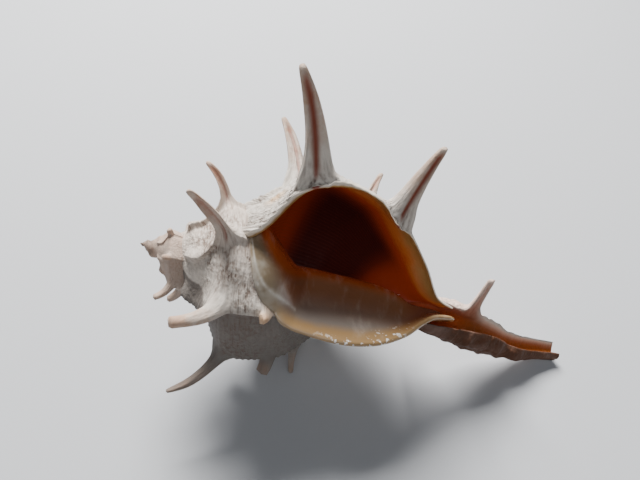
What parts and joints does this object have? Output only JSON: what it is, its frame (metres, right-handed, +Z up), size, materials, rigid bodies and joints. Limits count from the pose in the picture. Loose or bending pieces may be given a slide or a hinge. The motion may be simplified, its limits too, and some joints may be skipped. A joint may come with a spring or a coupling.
{
  "type": "purple dye murex shell",
  "caption": "Spiny dye murex shell with a wide oval mouth, an upright inner lip and a grooved canal, lying mouth up on two back spines and the canal's end.",
  "frame": {"origin": "centre of the bounding box on the surface that the shell rests on", "axes": "+X along the length, from the apex towards the canal's end; +Y away from the mouth's side; +Z up as it rests"},
  "size_m": [0.0694, 0.0456, 0.0511],
  "materials": {
    "shell": "chalky cream outside, glossy orange-brown inside the mouth"
  },
  "bodies": {
    "root": {"shell": "shell"}
  },
  "joints": []
}
